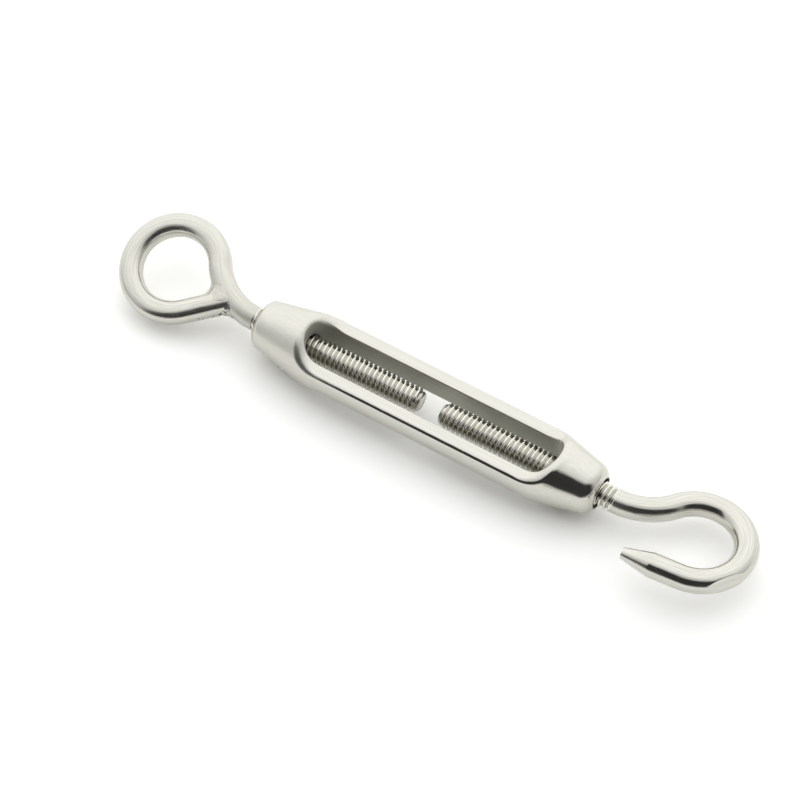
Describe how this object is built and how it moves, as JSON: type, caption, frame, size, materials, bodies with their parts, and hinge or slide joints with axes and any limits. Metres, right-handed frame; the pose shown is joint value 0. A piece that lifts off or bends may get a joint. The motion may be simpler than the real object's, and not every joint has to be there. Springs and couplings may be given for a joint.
{
  "type": "turnbuckle",
  "caption": "Open-body rigging turnbuckle: a slotted cast body with a bored boss at each end, a right-hand eye bolt and a left-hand hook bolt that screw in and out together.",
  "frame": {"origin": "on the axis of the two bolts, half way along the body", "axes": "+X along the bolts' axis from the eye to the hook, +Z square to the slot's opening, +Y across the two bars"},
  "size_m": [0.1733, 0.0301, 0.0172],
  "materials": {
    "cast_steel": "polished stainless casting",
    "bent_wire": "polished stainless wire with a rolled thread",
    "weld_metal": "stainless weld bead, brushed over"
  },
  "bodies": {
    "body": {"body": "cast_steel"},
    "eye_bolt": {"eye_bolt": "bent_wire", "eye_weld": "weld_metal"},
    "hook_bolt": {"hook_bolt": "bent_wire"}
  },
  "joints": [
    {"name": "eye_bolt_screw", "type": "slide", "parent": "body", "child": "eye_bolt", "axis": [-1, 0, 0], "range_m": [-0.00127, 0.02921]},
    {"name": "hook_bolt_screw", "type": "slide", "parent": "body", "child": "hook_bolt", "axis": [1, 0, 0], "range_m": [-0.00127, 0.02921]}
  ],
  "couplings": [
    {"joint": "hook_bolt_screw", "follows": "eye_bolt_screw", "ratio": 1}
  ]
}
